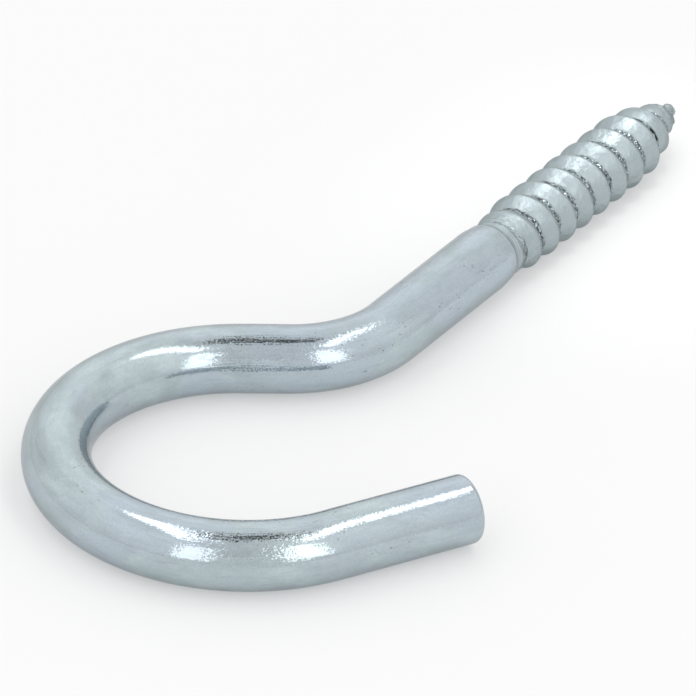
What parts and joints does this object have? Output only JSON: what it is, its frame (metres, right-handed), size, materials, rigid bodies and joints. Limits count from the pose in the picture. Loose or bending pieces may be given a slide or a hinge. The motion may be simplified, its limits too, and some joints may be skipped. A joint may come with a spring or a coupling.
{
  "type": "screw hook",
  "caption": "Open screw hook bent from one round rod: coarse wood thread with a point at one end, a bent neck, and an open loop with a blunt straight tail, for hanging things from timber.",
  "frame": {"origin": "on the screw's axis, where the rounded shoulder ends and the thread begins", "axes": "+X along the screw towards its point, +Y in the plane of the hook towards the side that the neck bends to, +Z square to the plane of the hook, which lies flat"},
  "size_m": [0.1208, 0.055, 0.0086],
  "materials": {
    "zinc_plated_steel": "bright zinc plate, satin"
  },
  "bodies": {
    "root": {"screw_hook": "zinc_plated_steel"}
  },
  "joints": []
}
